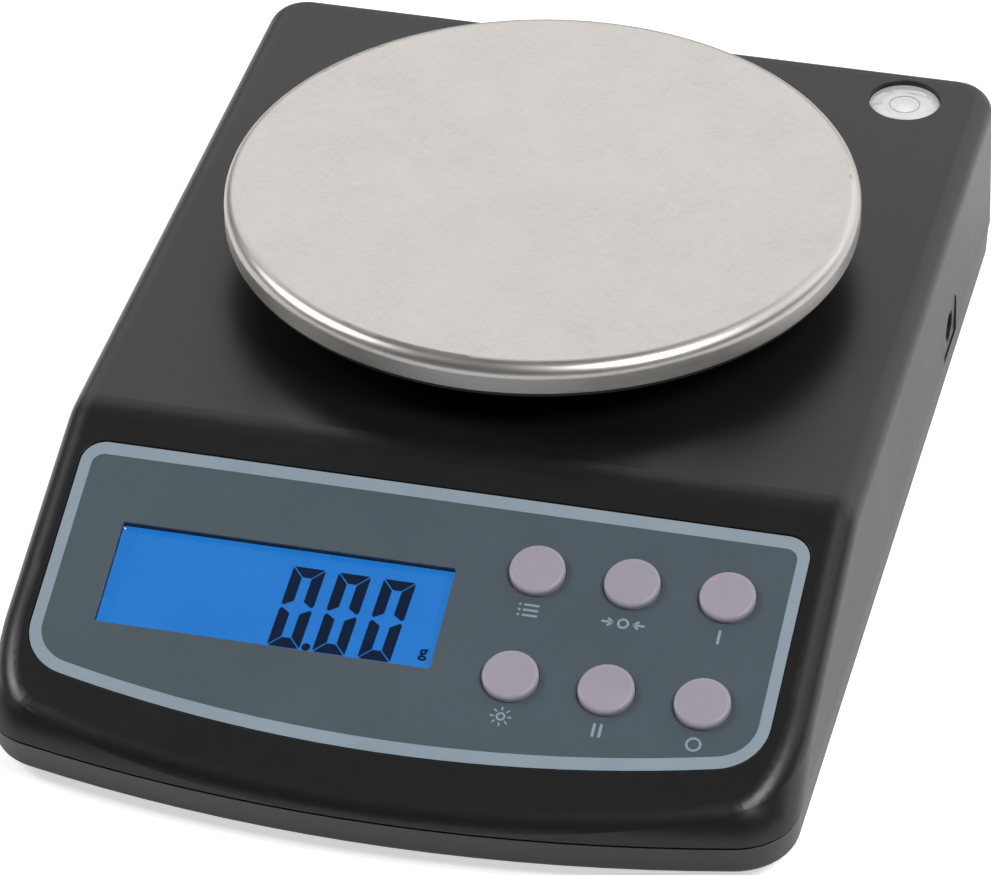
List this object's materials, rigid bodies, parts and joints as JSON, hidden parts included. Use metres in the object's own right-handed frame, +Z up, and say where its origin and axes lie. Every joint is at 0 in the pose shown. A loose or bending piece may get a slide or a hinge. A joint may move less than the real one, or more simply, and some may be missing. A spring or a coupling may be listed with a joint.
{
  "type": "digital gram scale",
  "caption": "Bench gram scale with a round steel pan on a black casing, a sloped keypad with a backlit display and round push buttons, a bubble level and levelling feet.",
  "frame": {"origin": "middle of the bounding box's bottom face, on the table", "axes": "+X to the right of the keypad, -Y the keypad end, +Z up"},
  "size_m": [0.1484, 0.2171, 0.0555],
  "materials": {
    "casing_black": "satin, fine moulded grain",
    "support_black": "satin",
    "foot_black": "satin",
    "faceplate_grey": "satin printed film",
    "faceplate_print": "printed light grey",
    "clear_window": "clear acrylic",
    "frame_white": "moulded",
    "display_blue": "backlit display",
    "backlight_blue": "diffuser",
    "strip_rubber": "matte",
    "board_green": "solder mask",
    "chip_black": "moulded",
    "switch_black": "moulded",
    "screw_steel": "zinc plated",
    "pan_steel": "fine brushed",
    "plate_steel": "plain",
    "pad_rubber": "matte",
    "cell_aluminium": "machined",
    "gauge_silicone": "soft",
    "lead_grey": "PVC",
    "lead_red": "PVC",
    "battery_wrap": "gloss film",
    "contact_nickel": "nickel",
    "jack_black": "moulded",
    "level_silver": "silvered",
    "level_fluid": "clear spirit",
    "level_bubble": "air",
    "button_lilac": "smooth satin"
  },
  "bodies": {
    "case": {"top_housing": "casing_black", "bottom_housing": "casing_black", "faceplate": "faceplate_grey", "lcd_window": "clear_window", "lcd_frame": "frame_white", "lcd_glass": "display_blue", "lcd_backlight": "backlight_blue", "lcd_contact_strips": "strip_rubber", "main_pcb": "board_green", "circuit_parts": "chip_black", "tact_switches": "switch_black", "pcb_screws": "screw_steel", "load_cell": "cell_aluminium", "strain_gauge_cover": "gauge_silicone", "cell_spacer": "cell_aluminium", "cell_screws": "screw_steel", "overload_stop": "screw_steel", "cell_lead": "lead_grey", "batteries": "battery_wrap", "battery_contacts": "contact_nickel", "battery_springs": "contact_nickel", "battery_lead": "lead_red", "dc_jack": "jack_black", "dc_jack_pin": "contact_nickel", "jack_lead": "lead_grey", "level_cup": "level_silver", "level_fluid": "level_fluid", "level_bubble": "level_bubble", "level_lens": "clear_window", "case_screws": "screw_steel"},
    "pan_carrier": {"pan_support": "support_black", "pan_pads": "pad_rubber", "carrier_post": "cell_aluminium", "carrier_plate": "plate_steel", "carrier_spacer": "cell_aluminium", "carrier_screws": "screw_steel", "post_screws": "screw_steel"},
    "pan": {"weighing_pan": "pan_steel"},
    "battery_hatch": {"battery_door": "casing_black"},
    "mode_key": {"mode_button": "button_lilac"},
    "tare_key": {"tare_button": "button_lilac"},
    "on_key": {"on_button": "button_lilac"},
    "backlight_key": {"backlight_button": "button_lilac"},
    "hold_key": {"hold_button": "button_lilac"},
    "off_key": {"off_button": "button_lilac"},
    "front_left_leveller": {"front_left_foot": "foot_black", "front_left_foot_pad": "pad_rubber"},
    "front_right_leveller": {"front_right_foot": "foot_black", "front_right_foot_pad": "pad_rubber"},
    "back_left_leveller": {"back_left_foot": "foot_black", "back_left_foot_pad": "pad_rubber"},
    "back_right_leveller": {"back_right_foot": "foot_black", "back_right_foot_pad": "pad_rubber"}
  },
  "joints": [
    {"name": "pan_travel", "type": "slide", "parent": "case", "child": "pan_carrier", "axis": [0, 0, 1], "range_m": [-0.0006, 0], "stiffness_N_per_m": 15000, "springref_m": 0.0004, "deforming": ["load_cell"]},
    {"name": "pan_lift", "type": "slide", "parent": "pan_carrier", "child": "pan", "axis": [0, 0, 1], "range_m": [0, 0.03]},
    {"name": "battery_hatch_swing", "type": "hinge", "parent": "case", "child": "battery_hatch", "pos_m": [0, -0.01965, 0.0037], "axis": [1, 0, 0], "range_deg": [0, 100]},
    {"name": "mode_press", "type": "slide", "parent": "case", "child": "mode_key", "axis": [0, -0.3584, 0.9336], "range_m": [-0.0008, 0], "stiffness_N_per_m": 600, "springref_m": 0.0004},
    {"name": "tare_press", "type": "slide", "parent": "case", "child": "tare_key", "axis": [0, -0.3584, 0.9336], "range_m": [-0.0008, 0], "stiffness_N_per_m": 600, "springref_m": 0.0004},
    {"name": "on_press", "type": "slide", "parent": "case", "child": "on_key", "axis": [0, -0.3584, 0.9336], "range_m": [-0.0008, 0], "stiffness_N_per_m": 600, "springref_m": 0.0004},
    {"name": "backlight_press", "type": "slide", "parent": "case", "child": "backlight_key", "axis": [0, -0.3584, 0.9336], "range_m": [-0.0008, 0], "stiffness_N_per_m": 600, "springref_m": 0.0004},
    {"name": "hold_press", "type": "slide", "parent": "case", "child": "hold_key", "axis": [0, -0.3584, 0.9336], "range_m": [-0.0008, 0], "stiffness_N_per_m": 600, "springref_m": 0.0004},
    {"name": "off_press", "type": "slide", "parent": "case", "child": "off_key", "axis": [0, -0.3584, 0.9336], "range_m": [-0.0008, 0], "stiffness_N_per_m": 600, "springref_m": 0.0004},
    {"name": "front_left_level", "type": "slide", "parent": "case", "child": "front_left_leveller", "axis": [0, 0, 1], "range_m": [-0.004, 0]},
    {"name": "front_right_level", "type": "slide", "parent": "case", "child": "front_right_leveller", "axis": [0, 0, 1], "range_m": [-0.004, 0]},
    {"name": "back_left_level", "type": "slide", "parent": "case", "child": "back_left_leveller", "axis": [0, 0, 1], "range_m": [-0.004, 0]},
    {"name": "back_right_level", "type": "slide", "parent": "case", "child": "back_right_leveller", "axis": [0, 0, 1], "range_m": [-0.004, 0]}
  ]
}
